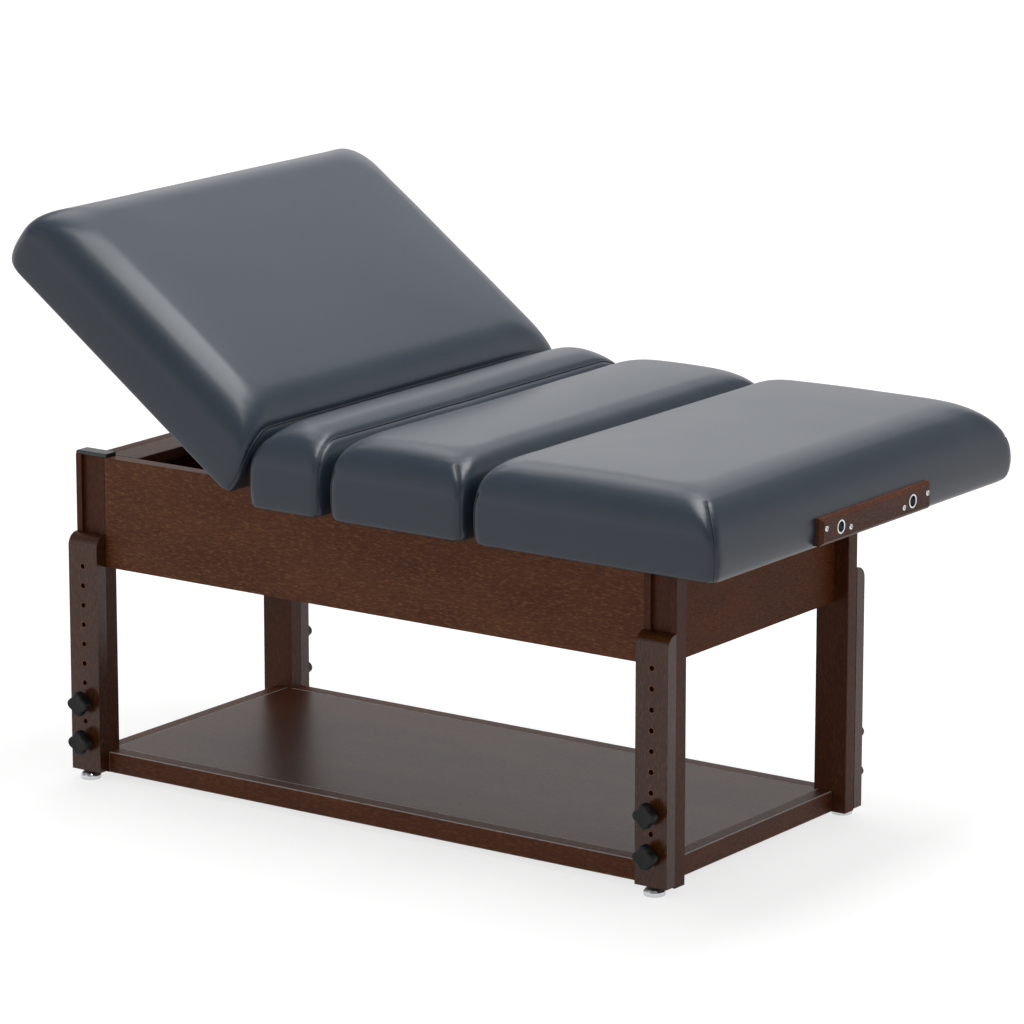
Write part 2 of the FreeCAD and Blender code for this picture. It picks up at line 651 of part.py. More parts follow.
# Face rest plate: a bevelled wooden bar let into the foot cushion, with two lined sockets and four screws.
PLATE_X = (f"{SPANS['foot'][1]} - plate_seat", f"{SPANS['foot'][1]} - plate_seat + plate_thickness")
PLATE_Z = (f"{DECK} + plate_rise", f"{DECK} + plate_rise + plate_height")
PLATE_MIDDLE = f"({DECK} + plate_rise + plate_height / 2)"
plate_back = block((PLATE_X[0], f"{PLATE_X[1]} - plate_bevel"), about("0", "plate_length"), PLATE_Z)
plate_front = doc.addObject("Part::Wedge", "bevelled_front")
for corner, formula in {
    "Xmin": "-plate_length / 2",
    "Xmax": "plate_length / 2",
    "X2min": "plate_bevel - plate_length / 2",
    "X2max": "plate_length / 2 - plate_bevel",
    "Ymin": "0",
    "Ymax": "plate_bevel",
    "Zmin": "0",
    "Zmax": "plate_height",
    "Z2min": "plate_bevel",
    "Z2max": "plate_height - plate_bevel",
}.items():
    plate_front.setExpression(corner, bound(formula))
plate_front.Placement = FreeCAD.Placement(FreeCAD.Vector(), FreeCAD.Rotation(FreeCAD.Vector(0, 0, 1), -90))
plate_front.setExpression("Placement.Base.x", bound(f"{PLATE_X[1]} - plate_bevel"))
plate_front.setExpression("Placement.Base.z", bound(PLATE_Z[0]))
plate = fuse([plate_back, plate_front])
bushings = []
sockets = []
for side in SIDES.values():
    centre = (f"({side}) * socket_spacing / 2", PLATE_MIDDLE)
    bushing_x = (f"{PLATE_X[1]} - bushing_length", PLATE_X[1])
    lining = cylinder("x", "bushing_diameter", centre, bushing_x)
    bushings.append(cut(lining, [cylinder("x", "socket_diameter", centre, bushing_x)]))
    sockets.append(cylinder("x", "bushing_diameter", centre, bushing_x))
screws = []
for side in SIDES.values():
    places = (
        (f"({side}) * (plate_length / 2 - outer_screw_inset)", f"{PLATE_MIDDLE} + screw_spread"),
        (f"({side}) * (socket_spacing / 2 - inner_screw_offset)", f"{PLATE_MIDDLE} - screw_spread"),
    )
    for centre in places:
        shank = cylinder("x", "screw_diameter", centre, (f"{PLATE_X[1]} - screw_length", PLATE_X[1]))
        sockets.append(cylinder("x", "screw_diameter", centre, (f"{PLATE_X[1]} - screw_length", PLATE_X[1])))
        head = cylinder("x", "screw_head_diameter", centre, (PLATE_X[1], f"{PLATE_X[1]} + screw_head_height"))
        screws.append(fuse([shank, head]))
keep("face_rest_plate", cut(plate, sockets))
keep("face_rest_sockets", group(bushings))
keep("plate_screws", group(screws))

doc.recompute()
plate_box = Part.makeBox(
    size("plate_thickness"),
    size("plate_length"),
    size("plate_height"),
    FreeCAD.Vector(foot_high - size("plate_seat"), -size("plate_length") / 2, deck_height + size("plate_rise")),
)
solids["foot"] = solids["foot"].cut(plate_box)
for side in SIDES.values():
    start = FreeCAD.Vector(
        foot_high - size("plate_seat") + size("plate_thickness") - size("bushing_length"),
        side * size("socket_spacing") / 2,
        deck_height + size("plate_rise") + size("plate_height") / 2,
    )
    lined = Part.makeCylinder(
        size("bushing_diameter") / 2, size("bushing_length"), start, FreeCAD.Vector(1, 0, 0)
    )
    solids["foot"] = solids["foot"].cut(lined)
for section, solid in solids.items():
    soft = doc.addObject("Part::Feature", f"{section}_cushion")
    soft.Shape = solid
    soft.Placement = RAISED.get(section, FreeCAD.Placement())
    keep(f"{section}_cushion", soft)
    low, high = SPANS[section]
    panel = block(
        (f"{low} + board_inset", f"{high} - board_inset"),
        about("0", "cushion_width - 2 * board_inset"),
        (DECK, f"{DECK} + board_thickness"),
    )
    keep(f"{section}_board", group([panel], RAISED.get(section)))

# Check every object, then write one file for each sub-part.
doc.recompute()
for item in doc.Objects:
    if "Invalid" in item.State or "Error" in item.State:
        raise RuntimeError(f"{item.Label} failed: {item.State}")
for label, piece in nodes.items():
    if piece.Shape.isNull() or not piece.Shape.isValid():
        raise RuntimeError(f"{label} has no valid shape")
os.makedirs("parts", exist_ok=True)
for label, piece in nodes.items():
    piece.Shape.exportStep(f"parts/{label}.step")
print(len(nodes), "sub-parts written")
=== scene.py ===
import json
import math

import bmesh
import bpy
import numpy as np
from mathutils import Matrix, Vector
from mathutils.bvhtree import BVHTree
from mathutils.kdtree import KDTree

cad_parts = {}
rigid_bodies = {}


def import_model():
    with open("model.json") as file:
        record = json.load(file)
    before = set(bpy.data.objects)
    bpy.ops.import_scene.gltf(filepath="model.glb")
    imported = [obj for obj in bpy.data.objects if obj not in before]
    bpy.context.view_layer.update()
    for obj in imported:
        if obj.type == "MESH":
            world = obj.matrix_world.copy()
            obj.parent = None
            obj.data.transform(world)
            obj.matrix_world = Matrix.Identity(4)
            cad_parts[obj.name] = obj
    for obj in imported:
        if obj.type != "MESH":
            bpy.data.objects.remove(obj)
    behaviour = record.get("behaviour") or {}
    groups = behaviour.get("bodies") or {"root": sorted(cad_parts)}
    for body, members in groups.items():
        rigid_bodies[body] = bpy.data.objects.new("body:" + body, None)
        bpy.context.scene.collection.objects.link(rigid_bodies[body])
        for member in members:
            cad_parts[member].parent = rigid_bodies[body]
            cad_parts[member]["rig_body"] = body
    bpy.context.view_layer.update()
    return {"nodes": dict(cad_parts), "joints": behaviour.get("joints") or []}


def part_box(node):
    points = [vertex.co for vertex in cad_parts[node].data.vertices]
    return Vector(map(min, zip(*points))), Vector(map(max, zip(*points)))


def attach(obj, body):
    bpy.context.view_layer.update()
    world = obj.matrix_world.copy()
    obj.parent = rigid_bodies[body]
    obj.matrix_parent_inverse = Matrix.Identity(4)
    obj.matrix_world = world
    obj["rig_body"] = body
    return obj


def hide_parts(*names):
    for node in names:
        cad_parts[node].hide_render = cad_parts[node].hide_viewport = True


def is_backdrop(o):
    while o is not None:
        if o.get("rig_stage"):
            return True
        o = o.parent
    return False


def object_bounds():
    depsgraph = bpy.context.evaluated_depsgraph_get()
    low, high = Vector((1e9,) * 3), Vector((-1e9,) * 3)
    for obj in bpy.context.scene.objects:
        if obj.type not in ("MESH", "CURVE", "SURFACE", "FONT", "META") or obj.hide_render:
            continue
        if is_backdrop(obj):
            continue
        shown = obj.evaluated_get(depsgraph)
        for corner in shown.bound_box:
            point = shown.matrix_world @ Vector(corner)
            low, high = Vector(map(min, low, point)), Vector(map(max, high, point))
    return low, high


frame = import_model()

# Posts: four uprights of solid beech with a channel milled down the outer face for the tongue of the leg
# board. Their colour is the brown stain of the aprons painted darker for the shade under the cushions'
# overhang, under a satin lacquer, and every edge is eased, which leaves a thin bright line.
MM = 0.001
# the post colours are the apron stain darkened by painted shade
SHADED_POST_STAIN = {"deep": "#371a0d", "warm": "#4e2713", "fleck": "#6b3c1d"}
POST_EDGE = 1.6 * MM
EDGE_STEPS = 3
SHARP_ANGLE = math.radians(40)
WELD = 0.005 * MM
FLAT_ANGLE = math.radians(0.5)
ENDS = ("head", "foot")
SIDES = ("near", "far")


def linear(colour):
    """Linear RGBA of an sRGB hex colour."""
    parts = [int(colour[i:i + 2], 16) / 255 for i in (1, 3, 5)]
    return [p / 12.92 if p <= 0.04045 else ((p + 0.055) / 1.055) ** 2.4 for p in parts] + [1.0]


def add(tree, kind, settings=None, links=None):
    """Adds a node. Lower-case settings are its fields and the others its inputs, and links go from outputs to
    inputs. A colour mix has its two colours at inputs 6 and 7 and gives the mixed one at output 2."""
    node = tree.nodes.new(kind)
    for key, value in (settings or {}).items():
        if isinstance(key, str) and key[0].islower():
            setattr(node, key, value)
        else:
            node.inputs[key].default_value = value
    for key, output in (links or {}).items():
        tree.links.new(output, node.inputs[key])
    return node


def new_finish(name, settings):
    """Empty node material with the constants of its shader, and its tree, shader and object coordinates."""
    finish = bpy.data.materials.new(name)
    finish.use_nodes = True
    tree = finish.node_tree
    shader = tree.nodes["Principled BSDF"]
    for key, value in settings.items():
        shader.inputs[key].default_value = value
    place = add(tree, "ShaderNodeTexCoord").outputs["Object"]
    return finish, tree, shader, place


def stained_beech(name, grain, stain, gloss=(0.4, 0.56), shine=0.16):
    """Stained beech under satin lacquer: cloudy stain, short pale flecks along the grain and dark open pores.
    Flecks are drawn 2 mm wide, wider than the real ones, so that they show from a few metres away."""
    finish, tree, shader, place = new_finish(name, {"IOR": 1.5, "Specular IOR Level": shine})

    def strands(width, length, detail):
        spread = [1 / (width * MM)] * 3
        spread["xyz".index(grain)] = 1 / (length * MM)
        laid = add(tree, "ShaderNodeMapping", {"Scale": spread}, {"Vector": place})
        noise = add(tree, "ShaderNodeTexNoise", {"Scale": 1.0, "Detail": detail}, {"Vector": laid.outputs[0]})
        return noise.outputs[0]

    clouds = strands(60, 190, 3)
    flecks = strands(2.0, 8, 3)
    pores = strands(1.4, 12, 2)
    cloudy = add(tree, "ShaderNodeMapRange", {"From Min": 0.2, "From Max": 0.8}, {"Value": clouds})
    tone = add(tree, "ShaderNodeMix",
               {"data_type": "RGBA", 6: linear(stain["deep"]), 7: linear(stain["warm"])},
               {0: cloudy.outputs[0]})
    pale = add(tree, "ShaderNodeMapRange", {"From Min": 0.5, "From Max": 0.76, "To Max": 0.6},
               {"Value": flecks})
    flecked = add(tree, "ShaderNodeMix", {"data_type": "RGBA", 7: linear(stain["fleck"])},
                  {0: pale.outputs[0], 6: tone.outputs[2]})
    open_pore = add(tree, "ShaderNodeMapRange", {"From Min": 0.55, "From Max": 0.72, "To Max": 0.55},
                    {"Value": pores})
    pored = add(tree, "ShaderNodeMix", {"data_type": "RGBA", 7: linear("#160b07")},
                {0: open_pore.outputs[0], 6: flecked.outputs[2]})
    satin = add(tree, "ShaderNodeMapRange", {"To Min": gloss[0], "To Max": gloss[1]}, {"Value": pores})
    relief = add(tree, "ShaderNodeBump", {"Strength": 0.25, "Distance": 0.12 * MM, "invert": True},
                 {"Height": pores})
    tree.links.new(pored.outputs[2], shader.inputs["Base Color"])
    tree.links.new(satin.outputs[0], shader.inputs["Roughness"])
    tree.links.new(relief.outputs[0], shader.inputs["Normal"])
    return finish


def new_piece(name, mesh, finish):
    """Object at the origin with one finish, in the scene."""
    mesh.materials.clear()
    mesh.materials.append(finish)
    piece = bpy.data.objects.new(name, mesh)
    bpy.context.scene.collection.objects.link(piece)
    return piece


def merged_copy(node):
    """Copy of a CAD piece's mesh as whole flat faces, with nothing but its shape."""
    shape = bmesh.new()
    shape.from_mesh(frame["nodes"][node].data)
    bmesh.ops.remove_doubles(shape, verts=shape.verts, dist=WELD)
    bmesh.ops.dissolve_limit(shape, angle_limit=FLAT_ANGLE, verts=shape.verts, edges=shape.edges)
    shape.verts.index_update()
    mesh = bpy.data.meshes.new(node)
    mesh.from_pydata([v.co for v in shape.verts], [], [[v.index for v in f.verts] for f in shape.faces])
    shape.free()
    return mesh


def stand_for(piece, node):
    """The piece rides on the node's body and hides the node."""
    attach(piece, frame["nodes"][node]["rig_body"])
    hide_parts(node)


def eased(node, edge, finish, bevel_highlight=None):
    """Copy of a CAD piece with its sharp edges eased, which stands for that piece. The bevels may take a
    finish of their own, which on the shelf is a painted highlight."""
    mesh = merged_copy(node)
    mesh.shade_smooth()
    piece = new_piece(f"{node}_eased", mesh, finish)
    rounding = piece.modifiers.new("eased edges", "BEVEL")
    rounding.width = edge
    rounding.segments = EDGE_STEPS
    if bevel_highlight:
        mesh.materials.append(bevel_highlight)
        rounding.material = 1
    rounding.limit_method = "ANGLE"
    rounding.angle_limit = SHARP_ANGLE
    flat = piece.modifiers.new("flat faces", "WEIGHTED_NORMAL")
    flat.keep_sharp = True
    stand_for(piece, node)


shaded_post_wood = stained_beech("stained_beech_upright_with_painted_shade", "z", SHADED_POST_STAIN)
for end in ENDS:
    for side in SIDES:
        eased(f"{end}_{side}_post", POST_EDGE, shaded_post_wood)

# Aprons: deep beech boards between the posts, glued and dowelled. The side ones are flush with the posts and
# the end ones set in. Their stain is lighter and warmer than the colour of the posts, which has painted shade
# in it, with the short flecks of flat-sawn beech.
APRON_STAIN = {"deep": "#4c2815", "warm": "#663a22", "fleck": "#94683f"}
END_STAIN = {"deep": "#431f0b", "warm": "#5c3014", "fleck": "#7c512b"}
APRON_EDGE = 1.4 * MM
apron_wood = stained_beech("brown_stained_beech_lengthways", "x", APRON_STAIN)
end_wood = stained_beech("brown_stained_beech_across", "y", END_STAIN, shine=0.08)
for side in SIDES:
    eased(f"{side}_side_apron", APRON_EDGE, apron_wood)
for end in ENDS:
    eased(f"{end}_end_apron", APRON_EDGE, end_wood)

# Cross rails: two plain beech boards inside the base, stained like the end aprons and screwed between the
# side ones. They carry the fixed seat, the hinges and the stays.
for section in ("back", "thigh"):
    eased(f"{section}_cross_rail", APRON_EDGE, end_wood)

# Shelf: a veneered panel let in flush and glued between four beech beams. The eased edges of panel and beams
# leave a fine groove all round, whose bevels carry a pale painted highlight, and the lacquer on the flat top
# reflects the room.
SHELF_STAIN = {"deep": "#432417", "warm": "#573222", "fleck": "#6b4632"}
BEAM_STAIN = {"deep": "#43210f", "warm": "#5e321a", "fleck": "#7f4f2c"}
# pale grey on the bevels of panel and beams: painted highlight
EDGE_HIGHLIGHT_TONE = {"deep": "#a39a96", "warm": "#b5adaa", "fleck": "#c4bdba"}
SHELF_EDGE = 1.3 * MM
shelf_wood = stained_beech("brown_veneer_shelf", "x", SHELF_STAIN, (0.3, 0.4))
beam_wood = stained_beech("dark_stained_beech_beam", "x", BEAM_STAIN)
end_beam_wood = stained_beech("dark_stained_beech_end_beam", "y", BEAM_STAIN)
edge_highlight_wood = stained_beech("painted_highlight_on_shelf_edges", "x", EDGE_HIGHLIGHT_TONE)
eased("shelf_panel", SHELF_EDGE, shelf_wood, edge_highlight_wood)
for side in SIDES:
    eased(f"{side}_shelf_beam", SHELF_EDGE, beam_wood, edge_highlight_wood)
for end in ENDS:
    eased(f"{end}_shelf_beam", SHELF_EDGE, end_beam_wood, edge_highlight_wood)

# Head end of the base: a flat veneered rim board glued behind the end apron, and the thin hardboard panel
# that closes the well below. The panel's near-black colour is painted shade for the dark inside of the
# well; it is dull and slightly gritty.
PANEL_EDGE = 0.8 * MM
rim_wood = stained_beech("brown_veneer_rim", "y", SHELF_STAIN, (0.42, 0.55))
eased("head_rim_board", APRON_EDGE, rim_wood)
well_shade_board, tree, shader, place = new_finish("hardboard_with_painted_well_shade",
                                              {"Roughness": 0.7, "Specular IOR Level": 0.3})
grit = add(tree, "ShaderNodeTexNoise", {"Scale": 1 / (2 * MM), "Detail": 3}, {"Vector": place})
# near-black: painted shade inside the well
shade = add(tree, "ShaderNodeMix", {"data_type": "RGBA", 6: linear("#0c0c0d"), 7: linear("#17171a")},
            {0: grit.outputs[0]})
tree.links.new(shade.outputs[2], shader.inputs["Base Color"])
eased("dust_panel", PANEL_EDGE, well_shade_board)

# Rest pads: moulded black rubber blocks glued on the post tops, which carry the folding sections. The mould
# leaves a fine pebbled skin with a low gloss.
PAD_EDGE = 1.5 * MM
rubber, tree, shader, place = new_finish("black_moulded_rubber", {"Roughness": 0.38, "IOR": 1.52})
pebbles = add(tree, "ShaderNodeTexVoronoi", {"Scale": 1 / (1.5 * MM)}, {"Vector": place})
shade = add(tree, "ShaderNodeMix", {"data_type": "RGBA", 6: linear("#141517"), 7: linear("#26282b")},
            {0: pebbles.outputs[0]})
relief = add(tree, "ShaderNodeBump", {"Strength": 0.4, "Distance": 0.15 * MM}, {"Height": pebbles.outputs[0]})
tree.links.new(shade.outputs[2], shader.inputs["Base Color"])
tree.links.new(relief.outputs[0], shader.inputs["Normal"])
eased("rest_pads", PAD_EDGE, rubber)

# Leg boards: beech boards with a tongue in the post's channel and a quarter-round top front edge, bored with
# a row of holes. Their lacquer is glossier than that of the base, and a thin pale ring is laid round the rim
# of each hole.
LEG_STAIN = {"deep": "#351a0a", "warm": "#4b2811", "fleck": "#724925"}
LEG_EDGE = 2.2 * MM
# pale colour of the ring laid round each hole
PALE_RIM_TONE = {"deep": "#7a5038", "warm": "#8c6048", "fleck": "#a07860"}
HOLE_COUNT = 10
HOLE_PITCH = 32 * MM
HOLE_MARGIN = 50 * MM
RIM_RADIUS = 4.9 * MM
RIM_THICKNESS = 0.8 * MM
leg_wood = stained_beech("light_stained_beech_leg", "z", LEG_STAIN, (0.2, 0.3), 0.34)
pale_rim_finish = stained_beech("pale_ring_round_a_hole", "z", PALE_RIM_TONE)

rim_tree = bpy.data.node_groups.new("rims_of_drilled_holes", "GeometryNodeTree")
rim_tree.interface.new_socket("Holes", in_out="INPUT", socket_type="NodeSocketGeometry")
rim_tree.interface.new_socket("Rim Radius", in_out="INPUT", socket_type="NodeSocketFloat")
rim_tree.interface.new_socket("Rim Thickness", in_out="INPUT", socket_type="NodeSocketFloat")
rim_tree.interface.new_socket("Finish", in_out="INPUT", socket_type="NodeSocketMaterial")
rim_tree.interface.new_socket("Rims", in_out="OUTPUT", socket_type="NodeSocketGeometry")
given = add(rim_tree, "NodeGroupInput")
circle = add(rim_tree, "GeometryNodeCurvePrimitiveCircle", {"Resolution": 32},
             {"Radius": given.outputs["Rim Radius"]})
swept = add(rim_tree, "GeometryNodeCurvePrimitiveCircle", {"Resolution": 6},
            {"Radius": given.outputs["Rim Thickness"]})
tube = add(rim_tree, "GeometryNodeCurveToMesh",
           links={"Curve": circle.outputs[0], "Profile Curve": swept.outputs[0]})
placed = add(rim_tree, "GeometryNodeInstanceOnPoints", {"Rotation": (math.pi / 2, 0, 0)},
             {"Points": given.outputs["Holes"], "Instance": tube.outputs[0]})
whole = add(rim_tree, "GeometryNodeRealizeInstances", links={0: placed.outputs[0]})
coloured = add(rim_tree, "GeometryNodeSetMaterial",
               links={"Geometry": whole.outputs[0], "Material": given.outputs["Finish"]})
add(rim_tree, "NodeGroupOutput", links={0: coloured.outputs[0]})


def evaluated_mesh(piece):
    """Plain mesh of an object as its modifiers leave it."""
    return bpy.data.meshes.new_from_object(piece.evaluated_get(bpy.context.evaluated_depsgraph_get()))


def bake(piece, *modifiers):
    """Applies modifiers to the piece and removes them."""
    mesh = evaluated_mesh(piece)
    for modifier in modifiers:
        piece.modifiers.remove(modifier)
    piece.data = mesh


def grown(piece, tree, sizes):
    """Makes the piece the plain mesh that a tree grows from it, with the tree's named inputs set."""
    growth = piece.modifiers.new("growth", "NODES")
    growth.node_group = tree
    for item in tree.interface.items_tree:
        if item.in_out == "INPUT" and item.name in sizes:
            growth[item.identifier] = sizes[item.name]
    bake(piece, growth)


for end in ENDS:
    for side in SIDES:
        node = f"{end}_{side}_leg"
        eased(node, LEG_EDGE, leg_wood)
        low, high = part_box(node)
        face = high.y if side == "far" else low.y
        heights = [low.z + HOLE_MARGIN + i * HOLE_PITCH for i in range(HOLE_COUNT)]
        holes = [((low.x + high.x) / 2, face, height) for height in heights]
        hole_mesh = bpy.data.meshes.new(f"{node}_hole_rims")
        hole_mesh.from_pydata(holes, [], [])
        rims = new_piece(f"{node}_hole_rims", hole_mesh, pale_rim_finish)
        grown(rims, rim_tree,
              {"Rim Radius": RIM_RADIUS, "Rim Thickness": RIM_THICKNESS, "Finish": pale_rim_finish})
        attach(rims, frame["nodes"][node]["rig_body"])

# Threaded inserts: zinc-plated steel sleeves pressed into the posts, which the studs of the knobs screw into.
# The plating is a dull light grey with a faint cloudy spangle.
zinc, tree, shader, place = new_finish("zinc_plated_steel", {"Metallic": 1.0})
spangle = add(tree, "ShaderNodeTexNoise", {"Scale": 1 / (6 * MM), "Detail": 4}, {"Vector": place})
shade = add(tree, "ShaderNodeMix", {"data_type": "RGBA", 6: linear("#85888b"), 7: linear("#b4b7b9")},
            {0: spangle.outputs[0]})
dull = add(tree, "ShaderNodeMapRange", {"To Min": 0.3, "To Max": 0.48}, {"Value": spangle.outputs[0]})
tree.links.new(shade.outputs[2], shader.inputs["Base Color"])
tree.links.new(dull.outputs[0], shader.inputs["Roughness"])


def dress(node, finish):
    """Gives a CAD piece that stays its finish."""
    mesh = frame["nodes"][node].data
    mesh.materials.clear()
    mesh.materials.append(finish)


dress("knob_inserts", zinc)

# Star knobs: four-lobed heads of moulded black ABS on a short hub, two for each leg, that screw into the
# inserts. The front is slightly dished, the edges are rounded, and the mould leaves a fine matt skin.
LOBE_RADIUS = 20 * MM
WAIST_RADIUS = 15.2 * MM
HUB_RADIUS = 10 * MM
HUB_LENGTH = 8 * MM
HEAD_DEPTH = 15 * MM
STUD_RADIUS = 4 * MM
HUB_FLARE = 1.05
LOBE_FULLNESS = 0.8
# millimetres out from the hub and share of the full radius, round the edge to the dished front
HEAD_PROFILE = ((0, 0.82), (0.6, 0.93), (2.2, 1.0), (11.2, 1.0), (13.2, 0.965), (14.5, 0.9), (15, 0.8),
                (14.7, 0.68), (14.2, 0.4), (14, 0.08))
KNOB_POINTS = 96
CREASE_ANGLE = math.radians(35)
abs_plastic, tree, shader, place = new_finish("black_moulded_abs",
                                              {"Roughness": 0.5, "Specular IOR Level": 0.25})
skin = add(tree, "ShaderNodeTexNoise", {"Scale": 1 / (0.8 * MM), "Detail": 2}, {"Vector": place})
shade = add(tree, "ShaderNodeMix", {"data_type": "RGBA", 6: linear("#0e0f10"), 7: linear("#1b1c1e")},
            {0: skin.outputs[0]})
relief = add(tree, "ShaderNodeBump", {"Strength": 0.3, "Distance": 0.08 * MM}, {"Height": skin.outputs[0]})
tree.links.new(shade.outputs[2], shader.inputs["Base Color"])
tree.links.new(relief.outputs[0], shader.inputs["Normal"])


def ringed_mesh(name, rings):
    """Closed mesh through rings of points that follow each other, with both ends capped."""
    count = len(rings[0])
    points = [point for ring in rings for point in ring]
    faces = []
    for level in range(len(rings) - 1):
        for i in range(count):
            j = (i + 1) % count
            low, high = level * count, (level + 1) * count
            faces.append((low + i, low + j, high + j, high + i))
    faces.append(tuple(range(count))[::-1])
    faces.append(tuple(range(len(points) - count, len(points))))
    mesh = bpy.data.meshes.new(name)
    mesh.from_pydata(points, [], faces)
    shape = bmesh.new()
    shape.from_mesh(mesh)
    bmesh.ops.recalc_face_normals(shape, faces=shape.faces)
    shape.to_mesh(mesh)
    shape.free()
    mesh.shade_smooth()
    mesh.set_sharp_from_angle(angle=CREASE_ANGLE)
    return mesh


def star_knob(node, outward):
    """Knob at the place of its CAD piece, built out from the leg's face along Y."""
    low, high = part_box(node)
    centre_x, centre_z = (low.x + high.x) / 2, (low.z + high.z) / 2
    front = high.y if outward > 0 else low.y
    back = low.y if outward > 0 else high.y
    head = front - outward * HEAD_DEPTH
    hub = head - outward * HUB_LENGTH
    turns = [2 * math.pi * i / KNOB_POINTS for i in range(KNOB_POINTS)]

    def ring(y, radius, lobed):
        points = []
        for turn in turns:
            lobes = 0.5 + 0.5 * math.cos(4 * turn)
            star = WAIST_RADIUS + (LOBE_RADIUS - WAIST_RADIUS) * lobes ** LOBE_FULLNESS
            reach = radius * (star / LOBE_RADIUS if lobed else 1)
            points.append((centre_x + reach * math.cos(turn), y, centre_z + reach * math.sin(turn)))
        return points

    rings = [ring(back, STUD_RADIUS, False), ring(hub, STUD_RADIUS, False), ring(hub, HUB_RADIUS, False),
             ring(head, HUB_RADIUS * HUB_FLARE, False)]
    for depth, share in HEAD_PROFILE:
        rings.append(ring(head + outward * depth * MM, LOBE_RADIUS * share, True))
    stand_for(new_piece(f"{node}_moulded", ringed_mesh(node, rings), abs_plastic), node)


for end in ENDS:
    for side in SIDES:
        for level in ("upper", "lower"):
            star_knob(f"{end}_{side}_{level}_knob", 1 if side == "far" else -1)

# Levelling feet: a turned steel disc with a flat rim and a domed shoulder, on a threaded stem that screws
# into the end of the leg, with a black plastic collar above it. The chrome is bright, with a slight haze.
FOOT_POINTS = 64
# height and radius in millimetres
DISC_PROFILE = [(0, 14.6), (0.5, 16), (1.4, 16.8), (3, 17), (6.4, 17), (7.6, 16.6), (8.6, 15.6), (10.4, 14.4),
                (11.6, 13), (12, 11), (12, 4)]
COLLAR_PROFILE = [(11.8, 9), (11.8, 10.4), (12.2, 11), (14.6, 11), (15, 10.4), (15, 4.2)]
STEM_RADIUS = 4
chrome, tree, shader, place = new_finish("polished_chrome", {"Metallic": 1.0})
haze = add(tree, "ShaderNodeTexNoise", {"Scale": 1 / (4 * MM), "Detail": 3}, {"Vector": place})
shade = add(tree, "ShaderNodeMix", {"data_type": "RGBA", 6: linear("#c3c5c7"), 7: linear("#dcdedf")},
            {0: haze.outputs[0]})
dull = add(tree, "ShaderNodeMapRange", {"To Min": 0.08, "To Max": 0.22}, {"Value": haze.outputs[0]})
tree.links.new(shade.outputs[2], shader.inputs["Base Color"])
tree.links.new(dull.outputs[0], shader.inputs["Roughness"])


def turned(name, centre, profile):
    """Closed mesh turned about a vertical axis from (height, radius) pairs in millimetres."""
    rings = []
    for height, radius in profile:
        ring = []
        for i in range(FOOT_POINTS):
            turn = 2 * math.pi * i / FOOT_POINTS
            x, y = math.cos(turn) * radius * MM, math.sin(turn) * radius * MM
            ring.append((centre.x + x, centre.y + y, centre.z + height * MM))
        rings.append(ring)
    return ringed_mesh(name, rings)


for end in ENDS:
    for side in SIDES:
        node = f"{end}_{side}_levelling_foot"
        low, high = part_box(node)
        centre = Vector(((low.x + high.x) / 2, (low.y + high.y) / 2, low.z))
        stem_top = (high.z - low.z) / MM
        disc_mesh = turned(node, centre, DISC_PROFILE + [(stem_top, STEM_RADIUS)])
        disc = new_piece(f"{node}_disc", disc_mesh, chrome)
        stand_for(disc, node)
        collar_mesh = turned(f"{node}_collar", centre, COLLAR_PROFILE)
        collar = new_piece(f"{node}_collar", collar_mesh, abs_plastic)
        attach(collar, node)

# Hinges and stays: pressed steel leaves, brackets and ears, turned pins, and telescopic tubes and rods, all
# zinc plated. They sit under the top, screwed to the boards and to the cross rails.
for node in ("frame_hinge_leaves", "back_hinge_leaves", "thigh_hinge_leaves", "hinge_pins",
             "thigh_fold_leaves", "foot_fold_leaves", "fold_pins", "stay_brackets",
             "back_stay_tubes", "back_stay_rods", "back_stay_ears",
             "thigh_stay_tubes", "thigh_stay_rods", "thigh_stay_ears"):
    dress(node, zinc)

# Cushion boards: birch plywood under each section, lacquered clear, to which the cover is stapled. The face
# veneer shows long pale grain.
GRAIN_LENGTH = 160 * MM
GRAIN_WIDTH = 5 * MM
birch, tree, shader, place = new_finish("birch_plywood", {"Roughness": 0.5})
laid = add(tree, "ShaderNodeMapping", {"Scale": (1 / GRAIN_LENGTH, 1 / GRAIN_WIDTH, 1 / GRAIN_WIDTH)},
           {"Vector": place})
figure = add(tree, "ShaderNodeTexNoise", {"Scale": 1.0, "Detail": 5, "Distortion": 0.6},
             {"Vector": laid.outputs[0]})
shade = add(tree, "ShaderNodeMix", {"data_type": "RGBA", 6: linear("#a98457"), 7: linear("#cfae82")},
            {0: figure.outputs[0]})
tree.links.new(shade.outputs[2], shader.inputs["Base Color"])
for section in ("back", "seat", "thigh", "foot"):
    dress(f"{section}_board", birch)

